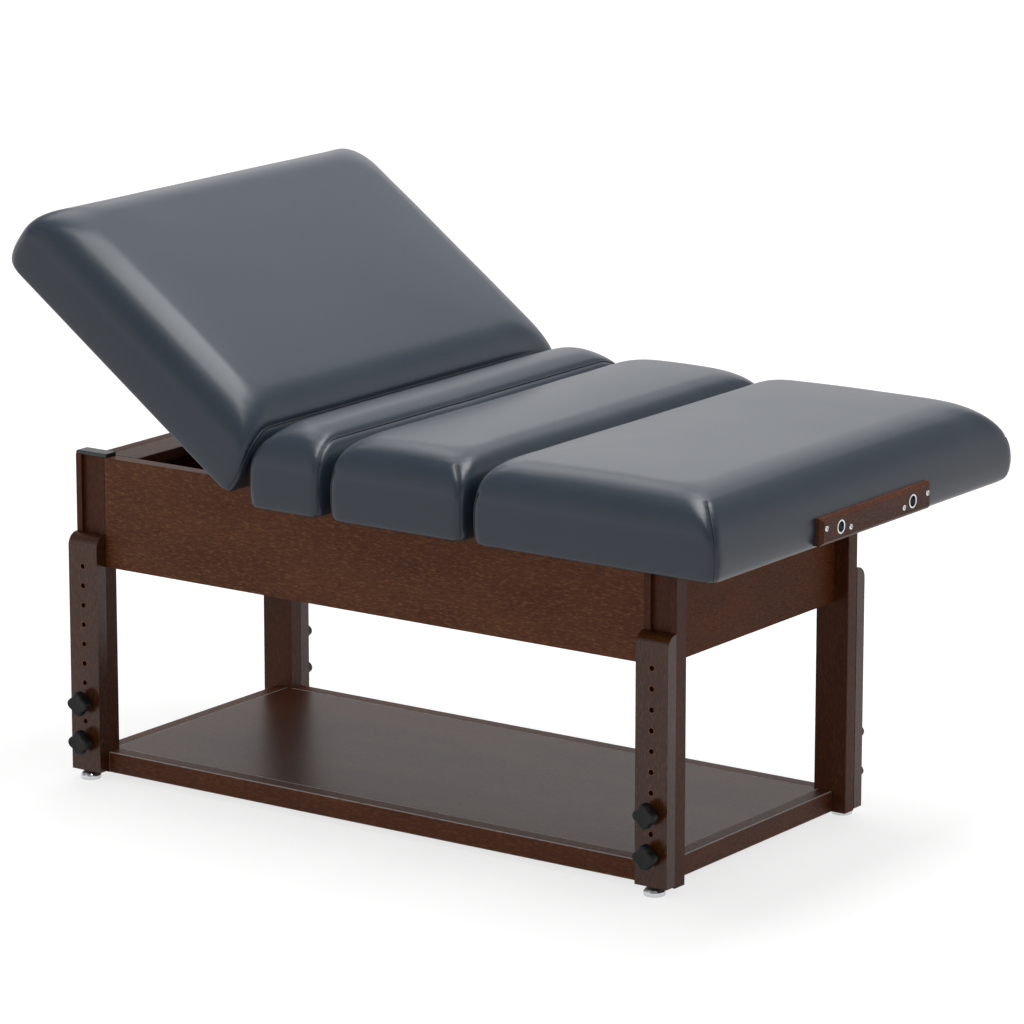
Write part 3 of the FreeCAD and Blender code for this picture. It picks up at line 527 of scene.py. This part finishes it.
# Cushions: foam blocks on the boards under a tight cover of upholstery vinyl, pulled over the edges and
# stapled below. The foam swells the cover, so each block starts a little small and is blown up by
# simulation. The vinyl has a soft satin sheen over a fine pebble grain.
EDGES = {
    # rounding above, tuck below, corner in plan, and reach past the solid
    "head": {"radius": 62 * MM, "tuck": 10 * MM, "corner": 34 * MM, "reach": 8 * MM},
    "hinged": {"radius": 94 * MM, "tuck": 2 * MM, "corner": 12 * MM, "reach": 0},
    "seat": {"radius": 54 * MM, "tuck": 4 * MM, "corner": 12 * MM, "reach": 0},
    "upper": {"radius": 34 * MM, "tuck": 4 * MM, "corner": 12 * MM, "reach": 0},
    "lower": {"radius": 46 * MM, "tuck": 4 * MM, "corner": 12 * MM, "reach": 0},
    "outer": {"radius": 92 * MM, "tuck": 12 * MM, "corner": 12 * MM, "reach": 0},
    "side": {"radius": 72 * MM, "tuck": 5 * MM, "reach": 10 * MM},
}
SECTION_ENDS = {
    "back": ("head", "hinged"),
    "seat": ("seat", "lower"),
    "thigh": ("upper", "lower"),
    "foot": ("upper", "outer"),
}
TUCK_HEIGHT = 36 * MM
CORNER_GROWTH = 0.5
CORNER_SHARE = 0.45
RING_STEPS = 16
CROWN = {"back": 7 * MM, "seat": 12 * MM, "thigh": 8 * MM, "foot": 7 * MM}
CAD_CROWN = 7 * MM
VOXEL = 6 * MM
SMOOTHINGS = 4
START_INSET = 1 * MM
SWELL_LIMIT = 4 * MM
STAPLED_HEIGHT = 12 * MM
FREE_HEIGHT = 30 * MM
BOARD_INSET = 16 * MM
UNDERSIDE = 3 * MM
DISH = 8 * MM
PRESSURE = 4
BENDING = 12
SWELL_FRAMES = 20
EVENINGS = 30
back_joint = next(joint for joint in frame["joints"] if joint["name"] == "back_tilt")
back_pivot = Vector(back_joint["pos_m"])
raised_angle = -math.radians(back_joint["range_deg"][0])
raise_back = (Matrix.Translation(back_pivot) @ Matrix.Rotation(raised_angle, 4, "Y")
              @ Matrix.Translation(-back_pivot))

vinyl, tree, shader, place = new_finish("slate_upholstery_vinyl", {"IOR": 1.5, "Specular IOR Level": 0.4})
tint = add(tree, "ShaderNodeTexNoise", {"Scale": 1 / (180 * MM), "Detail": 2}, {"Vector": place})
shade = add(tree, "ShaderNodeMix", {"data_type": "RGBA", 6: linear("#272f3a"), 7: linear("#2d3641")},
            {0: tint.outputs[0]})
pebble = add(tree, "ShaderNodeTexVoronoi", {"Scale": 1 / (1.3 * MM), "feature": "SMOOTH_F1"},
             {"Vector": place})
sheen = add(tree, "ShaderNodeMapRange", {"To Min": 0.3, "To Max": 0.37}, {"Value": tint.outputs[0]})
relief = add(tree, "ShaderNodeBump", {"Strength": 0.12, "Distance": 0.1 * MM}, {"Height": pebble.outputs[0]})
tree.links.new(shade.outputs[2], shader.inputs["Base Color"])
tree.links.new(sheen.outputs[0], shader.inputs["Roughness"])
tree.links.new(relief.outputs[0], shader.inputs["Normal"])


def points_of(mesh):
    """Vertex places of a mesh as rows."""
    rows = np.empty(len(mesh.vertices) * 3)
    mesh.vertices.foreach_get("co", rows)
    return rows.reshape(-1, 3)


def normals_of(mesh):
    """Vertex normals of a mesh as rows."""
    rows = np.empty(len(mesh.vertices) * 3)
    mesh.vertex_normals.foreach_get("vector", rows)
    return rows.reshape(-1, 3)


def edge_inset(edge, tall, level):
    """How far an edge has come in at a level above the bottom: tucked in below and rounded above."""
    tuck, radius = EDGES[edge]["tuck"], EDGES[edge]["radius"]
    depth = max(1 - level / TUCK_HEIGHT, 0)
    rise = max(level - tall + radius, 0)
    return tuck * (1 - math.sqrt(1 - depth ** 2)) + radius - math.sqrt(max(radius ** 2 - rise ** 2, 0))


def foam_block(section, low, high):
    """Foam block of a section through rings from its bottom up: tucked in, widest low down, rounded and flat
    on top."""
    tall = high.z - low.z - CAD_CROWN
    head_edge, foot_edge = SECTION_ENDS[section]
    turns = np.linspace(0, math.pi / 2, RING_STEPS)
    tucked = TUCK_HEIGHT * (1 - np.cos(turns[:-1]))
    rounded = TUCK_HEIGHT + (tall - TUCK_HEIGHT) * np.sin(turns)
    rings = []
    for level in [*tucked, *rounded]:
        head_in, foot_in, side_in = (edge_inset(edge, tall, level) for edge in (head_edge, foot_edge, "side"))
        x_low, x_high = low.x + head_in, high.x - foot_in
        half = (high.y - low.y) / 2 - side_in
        ring = []
        for to_x, to_y, start in ((1, 1, 0), (-1, 1, 90), (-1, -1, 180), (1, -1, 270)):
            corner = EDGES[foot_edge if to_x > 0 else head_edge]["corner"] + CORNER_GROWTH * side_in
            corner = min(corner, CORNER_SHARE * (x_high - x_low))
            centre_x = (x_high - corner) if to_x > 0 else (x_low + corner)
            for turn in np.radians(start + np.arange(0, 91, 15)):
                x = centre_x + corner * math.cos(turn)
                ring.append((x, to_y * (half - corner) + corner * math.sin(turn), low.z + level))
        rings.append(ring)
    return ringed_mesh(section, rings)


def evened(moved, mesh):
    """Movement of a mesh's vertices averaged with that of their neighbours, so that the cover swells without
    creases."""
    ends = np.empty(len(mesh.edges) * 2, dtype=np.int32)
    mesh.edges.foreach_get("vertices", ends)
    ends = ends.reshape(-1, 2)
    count = np.bincount(ends.ravel(), minlength=len(moved))[:, None]
    for _ in range(EVENINGS):
        around = np.zeros_like(moved)
        np.add.at(around, ends[:, 0], moved[ends[:, 1]])
        np.add.at(around, ends[:, 1], moved[ends[:, 0]])
        moved = (moved + around / count) / 2
    return moved


blocks = {}
starts = {}
for section in SECTION_ENDS:
    outline = merged_copy(f"{section}_cushion")
    if section == "back":
        outline.transform(raise_back.inverted())
    extent = points_of(outline)
    low, high = Vector(extent.min(0)), Vector(extent.max(0))
    head_edge, foot_edge = SECTION_ENDS[section]
    within = Vector((BOARD_INSET + VOXEL, BOARD_INSET + VOXEL, 0))
    board_low, board_high = low + within, high - within
    low -= Vector((EDGES[head_edge]["reach"], EDGES["side"]["reach"], 0))
    high += Vector((EDGES[foot_edge]["reach"], EDGES["side"]["reach"], 0))
    block = new_piece(f"{section}_cushion_cover", foam_block(section, low, high), vinyl)
    remesh = block.modifiers.new("even mesh", "REMESH")
    remesh.mode = "VOXEL"
    remesh.voxel_size = VOXEL
    relax = block.modifiers.new("soft edges", "SMOOTH")
    relax.factor = 0.5
    relax.iterations = SMOOTHINGS
    bake(block, remesh, relax)
    places = points_of(block.data)
    along, across, up = ((places - low) / (high - low)).T
    arch = (1 - (2 * along - 1) ** 2) * (1 - (2 * across - 1) ** 6) * up ** 3
    places[:, 2] += CROWN[section] * arch
    inward = normals_of(block.data) * START_INSET
    inward[:, 2] *= places[:, 2] > low.z + FREE_HEIGHT
    places -= inward
    on_board = places[:, 2] < low.z + UNDERSIDE
    for axis in (0, 1):
        on_board &= (places[:, axis] > board_low[axis]) & (places[:, axis] < board_high[axis])
    places[on_board, 2] = low.z + DISH
    block.data.vertices.foreach_set("co", places.ravel())
    staples = block.vertex_groups.new(name="stapled")
    staples.add(np.flatnonzero(places[:, 2] < low.z + STAPLED_HEIGHT).tolist(), 1.0, "REPLACE")
    blocks[section] = block
    starts[section] = places

for block in blocks.values():
    swell = block.modifiers.new("swell", "CLOTH")
    swell.settings.use_pressure = True
    swell.settings.uniform_pressure_force = PRESSURE
    swell.settings.bending_stiffness = BENDING
    swell.settings.effector_weights.gravity = 0
    swell.settings.vertex_group_mass = "stapled"
    swell.point_cache.frame_start = 1
    swell.point_cache.frame_end = SWELL_FRAMES
for step in range(1, SWELL_FRAMES + 1):
    bpy.context.scene.frame_set(step)
for section, block in blocks.items():
    bake(block, block.modifiers["swell"])
    moved = evened(points_of(block.data) - starts[section], block.data)
    furthest = np.linalg.norm(moved, axis=1).max()
    moved *= min(1, SWELL_LIMIT / furthest)
    block.data.vertices.foreach_set("co", (starts[section] + moved).ravel())
bpy.context.scene.frame_set(1)

# Seams: the vinyl is cut with a separate panel on each end of the fixed seat and on the hinged end of the
# back, and sewn with a dart at the upright corners of the other two. The closed seam lies in a shallow
# groove as a thin dark welt.
SEAM_DEPTH = 1.6 * MM
SEAM_SPREAD = 4.5 * MM
WELT_RADIUS = 1.0 * MM
WELT_SINK = 0.6
CORNER_CENTRE = 14 * MM
PROFILE_RADIUS = 72 * MM
SEAM_START = 2 * MM
SEAM_STEP = 6 * MM
BEND_POINTS = 10
SEAM_SHARES = (0, 0.25, 0.5, 0.75)
OUTSIDE = 0.2

welt_vinyl, tree, shader, place = new_finish("folded_vinyl_welt", {"Roughness": 0.5})
fold = add(tree, "ShaderNodeTexNoise", {"Scale": 1 / (3 * MM), "Detail": 2}, {"Vector": place})
shade = add(tree, "ShaderNodeMix", {"data_type": "RGBA", 6: linear("#15191d"), 7: linear("#23292f")},
            {0: fold.outputs[0]})
tree.links.new(shade.outputs[2], shader.inputs["Base Color"])

welt_tree = bpy.data.node_groups.new("seam_welt", "GeometryNodeTree")
welt_tree.interface.new_socket("Line", in_out="INPUT", socket_type="NodeSocketGeometry")
welt_tree.interface.new_socket("Radius", in_out="INPUT", socket_type="NodeSocketFloat")
welt_tree.interface.new_socket("Finish", in_out="INPUT", socket_type="NodeSocketMaterial")
welt_tree.interface.new_socket("Welt", in_out="OUTPUT", socket_type="NodeSocketGeometry")
given = add(welt_tree, "NodeGroupInput")
path = add(welt_tree, "GeometryNodeMeshToCurve", links={0: given.outputs["Line"]})
section_ring = add(welt_tree, "GeometryNodeCurvePrimitiveCircle", {"Resolution": 8},
                   {"Radius": given.outputs["Radius"]})
tube = add(welt_tree, "GeometryNodeCurveToMesh", {"Fill Caps": True},
           {"Curve": path.outputs[0], "Profile Curve": section_ring.outputs[0]})
smooth = add(welt_tree, "GeometryNodeSetShadeSmooth", links={0: tube.outputs[0]})
whole = add(welt_tree, "GeometryNodeRealizeInstances", links={0: smooth.outputs[0]})
coloured = add(welt_tree, "GeometryNodeSetMaterial",
               links={"Geometry": whole.outputs[0], "Material": given.outputs["Finish"]})
add(welt_tree, "NodeGroupOutput", links={0: coloured.outputs[0]})


def end_line(low, high, toward):
    """Centre points and outward directions of the seam round an end panel: up, over the top and down."""
    half = (high.y - low.y) / 2
    inner = half - CORNER_CENTRE
    x = (high.x if toward > 0 else low.x) - toward * CORNER_CENTRE
    bend = PROFILE_RADIUS - CORNER_CENTRE
    top = high.z - CORNER_CENTRE
    line = []
    for z in np.arange(low.z + SEAM_START, top - bend, SEAM_STEP):
        line.append((Vector((x, -inner, z)), Vector((toward, -1, 0))))
    for turn in np.linspace(0, math.pi / 2, BEND_POINTS):
        around = Vector((0, -math.cos(turn), math.sin(turn)))
        corner = Vector((x, -inner + bend, top - bend))
        line.append((corner + around * bend, Vector((toward, 0, 0)) + around))
    for y in np.arange(-inner + bend + SEAM_STEP, 0, SEAM_STEP):
        line.append((Vector((x, y, top)), Vector((toward, 0, 1))))
    mirrored = [(Vector((p.x, -p.y, p.z)), Vector((d.x, -d.y, d.z))) for p, d in reversed(line)]
    return line + mirrored


def dart_line(low, high, toward, side, short):
    """Centre points and outward directions of a dart up an upright corner, that ends short of the top."""
    half = (high.y - low.y) / 2
    x = (high.x if toward > 0 else low.x) - toward * CORNER_CENTRE
    points = []
    for z in np.arange(low.z + SEAM_START, high.z - short, SEAM_STEP):
        points.append((Vector((x, side * (half - CORNER_CENTRE), z)), Vector((toward, side, 0))))
    return points


# a panel's seam has the end that it is on, and a dart its end, its side and how far short of the top it stops
SEAMS = {
    "back": [("end", 1)],
    "seat": [("end", -1), ("end", 1)],
    "thigh": [("dart", 1, -1, 20 * MM), ("dart", 1, 1, 50 * MM),
              ("dart", -1, -1, 50 * MM), ("dart", -1, 1, 50 * MM)],
    "foot": [("dart", 1, -1, 20 * MM), ("dart", 1, 1, 64 * MM),
             ("dart", -1, -1, 50 * MM), ("dart", -1, 1, 50 * MM)],
}
for section, block in blocks.items():
    finer = block.modifiers.new("finer", "SUBSURF")
    finer.levels = 1
    finer.render_levels = 1
    bake(block, finer)
    cover = block.data
    cover.shade_smooth()
    places = points_of(cover)
    low, high = Vector(places.min(0)), Vector(places.max(0))
    skin = BVHTree.FromPolygons(places.tolist(), [tuple(face.vertices) for face in cover.polygons])
    normals = normals_of(cover)
    welts = []
    for kind, *where in SEAMS[section]:
        line = end_line(low, high, *where) if kind == "end" else dart_line(low, high, *where)
        seam = []
        for centre, direction in line:
            away = direction.normalized()
            hit = skin.ray_cast(centre + away * OUTSIDE, -away)[0]
            if hit is not None:
                seam.append(hit - away * SEAM_DEPTH * WELT_SINK)
        welts.append(seam)
    near = KDTree(sum(len(seam) for seam in welts) * len(SEAM_SHARES))
    index = 0
    for seam in welts:
        for a, b in zip(seam, seam[1:]):
            for share in SEAM_SHARES:
                near.insert(a.lerp(b, share), index)
                index += 1
    near.balance()
    distance = np.array([near.find(place)[2] for place in places])
    places -= normals * (SEAM_DEPTH * np.exp(-(distance / SEAM_SPREAD) ** 2))[:, None]
    cover.vertices.foreach_set("co", places.ravel())
    cover.update()
    body = frame["nodes"][f"{section}_cushion"]["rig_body"]
    for number, seam in enumerate(welts, start=1):
        line_mesh = bpy.data.meshes.new(f"{section}_seam_{number}")
        line_mesh.from_pydata(seam, [(i, i + 1) for i in range(len(seam) - 1)], [])
        welt = new_piece(f"{section}_seam_{number}", line_mesh, welt_vinyl)
        grown(welt, welt_tree, {"Radius": WELT_RADIUS, "Finish": welt_vinyl})
        if section == "back":
            welt.data.transform(raise_back)
        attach(welt, body)
    if section == "back":
        cover.transform(raise_back)
    stand_for(block, f"{section}_cushion")

# Face rest plate: a bevelled beech bar let into the end of the foot cushion, with two chromed steel sockets
# that take the rods of a face rest. Its stain is redder than that of the base.
PLATE_EDGE = 0.8 * MM
SOCKET_EDGE = 0.7 * MM
PLATE_STAIN = {"deep": "#3a1d12", "warm": "#552e1c", "fleck": "#7a4a2e"}
plate_wood = stained_beech("red_brown_stained_beech", "y", PLATE_STAIN)
eased("face_rest_plate", PLATE_EDGE, plate_wood)
eased("face_rest_sockets", SOCKET_EDGE, chrome)

# Plate screws: four chromed pan-head wood screws that hold the plate. Each has a cross recess pressed into
# its dome, and has been driven to an angle of its own.
SCREW_RADIUS = 4.5 * MM
SCREW_RISE = 2 * MM
DOME_FULLNESS = 0.7
DOME_TIP = 0.01
SLOT_HALF = 0.65 * MM
SLOT_REACH = 2.8 * MM
SLOT_DEPTH = 1.4 * MM
SCREW_RINGS = 14
SCREW_POINTS = 48
SCREW_SEED = 7
SCREW_TURN = 1.5
SOCKET_RADIUS = 11 * MM
INNER_SCREW_OFFSET = 26 * MM


def screw_head():
    """Pan head that faces +X, with a cross pressed into its dome."""
    rings = []
    for step in range(SCREW_RINGS + 1):
        turn = math.pi / 2 * step / SCREW_RINGS
        radius = SCREW_RADIUS * math.cos(turn)
        ring = []
        for i in range(SCREW_POINTS):
            angle = 2 * math.pi * i / SCREW_POINTS
            y, z = radius * math.cos(angle), radius * math.sin(angle)
            rise = SCREW_RISE * math.sin(turn) ** DOME_FULLNESS
            if min(abs(y), abs(z)) < SLOT_HALF and radius < SLOT_REACH:
                rise -= SLOT_DEPTH
            ring.append((rise, y, z))
        rings.append(ring)
    rings[-1] = [(SCREW_RISE - SLOT_DEPTH, y * DOME_TIP, z * DOME_TIP) for _, y, z in rings[-2]]
    return ringed_mesh("screw_head", rings)


screw_tree = bpy.data.node_groups.new("screws_in_plate", "GeometryNodeTree")
screw_tree.interface.new_socket("Places", in_out="INPUT", socket_type="NodeSocketGeometry")
screw_tree.interface.new_socket("Head", in_out="INPUT", socket_type="NodeSocketObject")
screw_tree.interface.new_socket("Finish", in_out="INPUT", socket_type="NodeSocketMaterial")
screw_tree.interface.new_socket("Screws", in_out="OUTPUT", socket_type="NodeSocketGeometry")
given = add(screw_tree, "NodeGroupInput")
head = add(screw_tree, "GeometryNodeObjectInfo", links={"Object": given.outputs["Head"]})
turn = add(screw_tree, "FunctionNodeRandomValue", {"data_type": "FLOAT", "Seed": SCREW_SEED, 3: SCREW_TURN})
twist = add(screw_tree, "ShaderNodeCombineXYZ", links={"X": turn.outputs[1]})
placed = add(screw_tree, "GeometryNodeInstanceOnPoints",
             links={"Points": given.outputs["Places"], "Instance": head.outputs["Geometry"],
                    "Rotation": twist.outputs[0]})
whole = add(screw_tree, "GeometryNodeRealizeInstances", links={0: placed.outputs[0]})
coloured = add(screw_tree, "GeometryNodeSetMaterial",
               links={"Geometry": whole.outputs[0], "Material": given.outputs["Finish"]})
add(screw_tree, "NodeGroupOutput", links={0: coloured.outputs[0]})
head_piece = new_piece("screw_head", screw_head(), chrome)
plate_low, plate_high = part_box("face_rest_plate")
screws_low, screws_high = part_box("plate_screws")
socket_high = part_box("face_rest_sockets")[1]
outer_y = screws_high.y - SCREW_RADIUS
inner_y = (socket_high.y - SOCKET_RADIUS) - INNER_SCREW_OFFSET
spread = (screws_high.z - screws_low.z) / 2 - SCREW_RADIUS
middle = (plate_low.z + plate_high.z) / 2
seats = [(plate_high.x, side * y, middle + lift) for side in (-1, 1)
         for y, lift in ((outer_y, spread), (inner_y, -spread))]
seat_mesh = bpy.data.meshes.new("plate_screw_heads")
seat_mesh.from_pydata(seats, [], [])
screw_set = new_piece("plate_screw_heads", seat_mesh, chrome)
grown(screw_set, screw_tree, {"Head": head_piece, "Finish": chrome})
bpy.data.objects.remove(head_piece)
stand_for(screw_set, "plate_screws")

# Studio: a floor of pale paper that glows to white further out, and a sky that is white only near the
# horizon. There are four soft lamps: a strip overhead, a smaller one over the raised back, and weak ones
# behind and in front. The camera stands where the photograph was taken from.
FLOOR_REACH = 14.0
GLOW_NEAR, GLOW_FAR = 1.2, 7.0
GLOW_LEAST, GLOW_MOST = 0.74, 0.97
HORIZON_TOP, SKY_BOTTOM = 0.26, 0.46
HORIZON_LIGHT, SKY_LIGHT = 1.0, 0.3
studio, tree, shader, place = new_finish("white_studio_paper", {"Roughness": 0.9, "Specular IOR Level": 0.1})
shader.inputs["Base Color"].default_value = linear("#a4a4a4")
seen = add(tree, "ShaderNodeLightPath")
mirrored = add(tree, "ShaderNodeMath", {"operation": "MAXIMUM"},
               {0: seen.outputs["Is Glossy Ray"], 1: seen.outputs["Is Transmission Ray"]})
shown = add(tree, "ShaderNodeMath", {"operation": "MAXIMUM"},
            {0: seen.outputs["Is Camera Ray"], 1: mirrored.outputs[0]})
away = add(tree, "ShaderNodeVectorMath", {"operation": "LENGTH"}, {0: place})
strength = add(tree, "ShaderNodeMapRange",
               {"From Min": GLOW_NEAR, "From Max": GLOW_FAR, "To Min": GLOW_LEAST, "To Max": GLOW_MOST},
               {"Value": away.outputs["Value"]})
glow = add(tree, "ShaderNodeEmission", links={"Strength": strength.outputs[0]})
both = add(tree, "ShaderNodeAddShader", links={0: shader.outputs[0], 1: glow.outputs[0]})
paper = add(tree, "ShaderNodeMixShader",
            links={0: shown.outputs[0], 1: shader.outputs[0], 2: both.outputs[0]})
tree.links.new(paper.outputs[0], tree.nodes["Material Output"].inputs["Surface"])
floor_mesh = bpy.data.meshes.new("studio_floor")
floor_mesh.from_pydata([(-FLOOR_REACH, -FLOOR_REACH, 0), (FLOOR_REACH, -FLOOR_REACH, 0),
                        (FLOOR_REACH, FLOOR_REACH, 0), (-FLOOR_REACH, FLOOR_REACH, 0)], [], [(0, 1, 2, 3)])
new_piece("studio_floor", floor_mesh, studio)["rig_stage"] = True

world = bpy.data.worlds.new("studio")
world.use_nodes = True
bpy.context.scene.world = world
tree = world.node_tree
direction = add(tree, "ShaderNodeTexCoord")
height = add(tree, "ShaderNodeSeparateXYZ", links={0: direction.outputs["Generated"]})
fade = add(tree, "ShaderNodeMapRange",
           {"From Min": HORIZON_TOP, "From Max": SKY_BOTTOM, "To Min": HORIZON_LIGHT, "To Max": SKY_LIGHT},
           {"Value": height.outputs["Z"]})
tree.links.new(fade.outputs[0], tree.nodes["Background"].inputs["Strength"])
tree.nodes["Background"].inputs["Color"].default_value = linear("#ffffff")

LAMPS = {
    "overhead": {"place": (0.3, 0.1, 3.1), "aim": (0.3, 0.1, 0), "size": (1.1, 2.6), "power": 70},
    "left": {"place": (-1.6, 0.9, 3.1), "aim": (-1.6, 0.9, 0), "size": (1.4, 1.6), "power": 19},
    "behind": {"place": (-1.0, 2.4, 2.5), "aim": (0, 0, 0.6), "size": (3.0, 2.0), "power": 17},
    "front": {"place": (-2.2, -3.6, 2.6), "aim": (0, 0, 0.5), "size": (3.0, 3.0), "power": 12},
}
for name, lamp in LAMPS.items():
    light = bpy.data.lights.new(name, "AREA")
    light.shape = "RECTANGLE"
    light.size, light.size_y = lamp["size"]
    light.energy = lamp["power"]
    holder = bpy.data.objects.new(name, light)
    holder.location = lamp["place"]
    aim = Vector(lamp["aim"]) - Vector(lamp["place"])
    holder.rotation_euler = aim.to_track_quat("-Z", "Y").to_euler()
    bpy.context.scene.collection.objects.link(holder)

CAMERA_PLACE = (4.6659, -6.5665, 2.3655)
CAMERA_DIP, CAMERA_TURN = math.radians(13.204), math.radians(35.353)
CAMERA_LENS, SENSOR_WIDTH = 186.22, 36
FURTHEST_SEEN = 100
camera = bpy.data.objects.new("camera", bpy.data.cameras.new("camera"))
camera.data.sensor_width = SENSOR_WIDTH
camera.data.lens = CAMERA_LENS
camera.location = CAMERA_PLACE
camera.rotation_euler = (math.radians(90) - CAMERA_DIP, 0, CAMERA_TURN)
camera.data.clip_end = FURTHEST_SEEN
bpy.context.scene.collection.objects.link(camera)
bpy.context.scene.camera = camera
bpy.context.scene.view_settings.view_transform = "Standard"

low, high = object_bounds()
